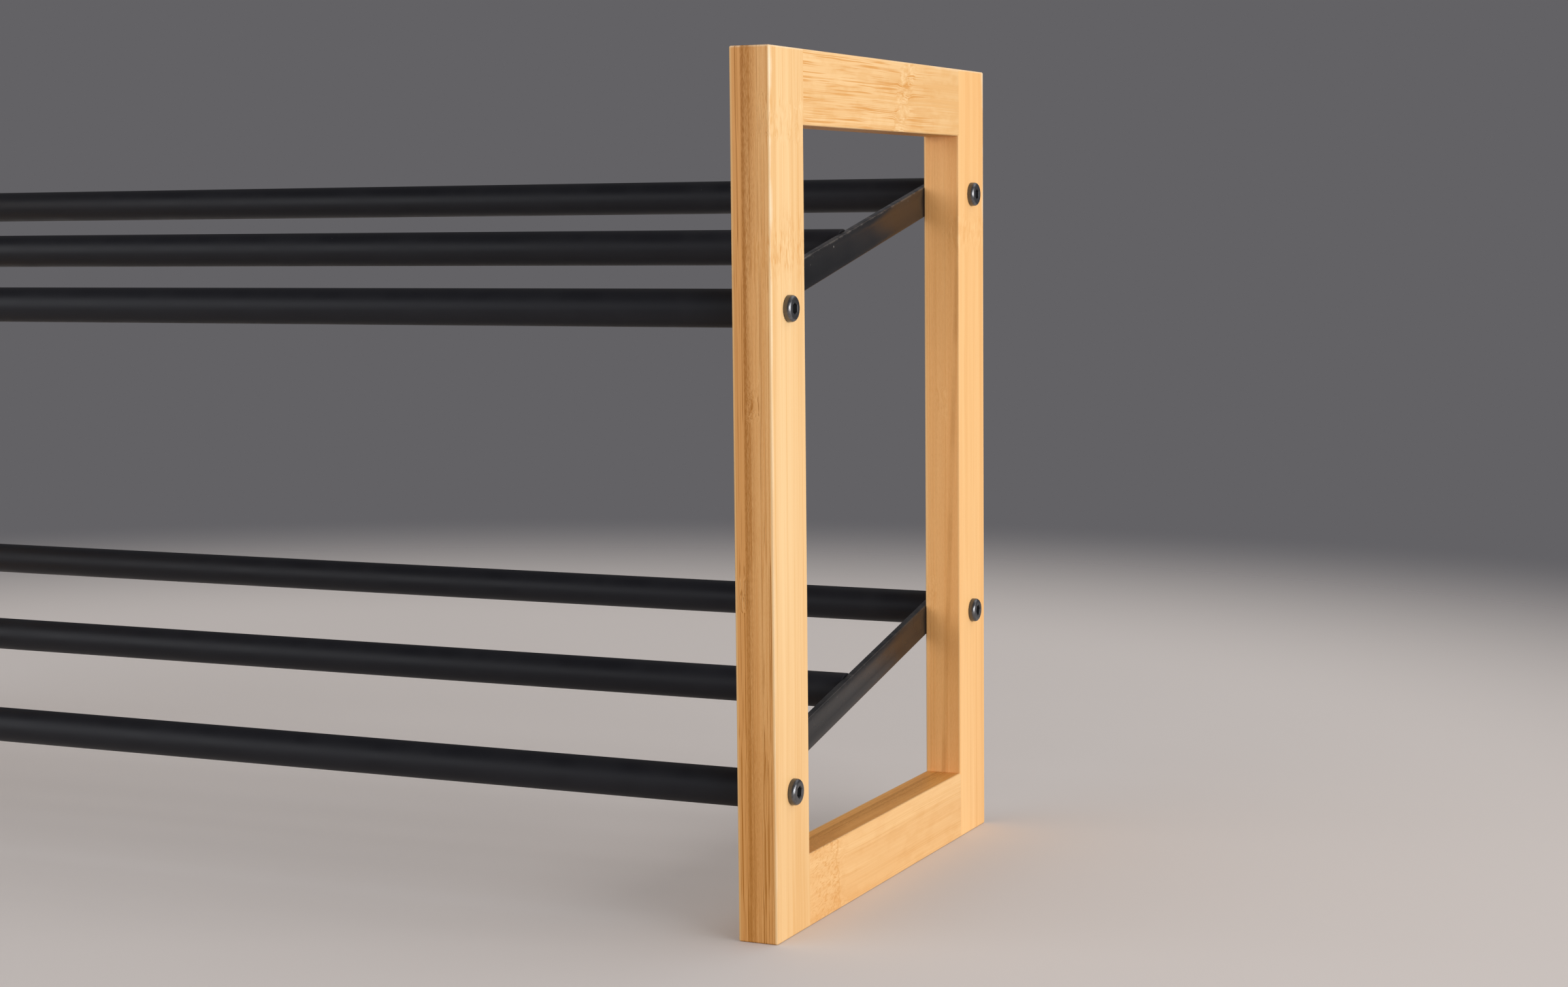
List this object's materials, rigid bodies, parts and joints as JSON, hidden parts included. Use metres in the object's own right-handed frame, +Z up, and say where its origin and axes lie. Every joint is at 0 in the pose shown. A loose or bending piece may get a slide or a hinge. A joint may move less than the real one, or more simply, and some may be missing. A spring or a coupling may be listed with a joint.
{
  "type": "shoe rack",
  "caption": "Low shoe rack with sloped shelves of matte black steel tube, bolted between upright rectangular bamboo end frames.",
  "frame": {"origin": "on the floor, at the middle of the rack's footprint", "axes": "+X along the tubes to the right-hand end, +Y to the rear, +Z up"},
  "size_m": [0.7056, 0.222, 0.33],
  "materials": {
    "bamboo": "satin lacquered bamboo",
    "dowel_wood": "plain beech",
    "black_powder_coat": "matte black powder coat",
    "black_screw": "black oxide",
    "plug_steel": "bare steel"
  },
  "bodies": {
    "root": {"left_front_post": "bamboo", "left_rear_post": "bamboo", "left_top_rail": "bamboo", "left_bottom_rail": "bamboo", "left_frame_dowels": "dowel_wood", "left_frame_screws": "black_screw", "right_front_post": "bamboo", "right_rear_post": "bamboo", "right_top_rail": "bamboo", "right_bottom_rail": "bamboo", "right_frame_dowels": "dowel_wood", "right_frame_screws": "black_screw", "lower_front_tube": "black_powder_coat", "lower_middle_tube": "black_powder_coat", "lower_rear_tube": "black_powder_coat", "lower_left_bar": "black_powder_coat", "lower_right_bar": "black_powder_coat", "lower_weld_beads": "black_powder_coat", "lower_threaded_plugs": "plug_steel", "upper_front_tube": "black_powder_coat", "upper_middle_tube": "black_powder_coat", "upper_rear_tube": "black_powder_coat", "upper_left_bar": "black_powder_coat", "upper_right_bar": "black_powder_coat", "upper_weld_beads": "black_powder_coat", "upper_threaded_plugs": "plug_steel"}
  },
  "joints": []
}
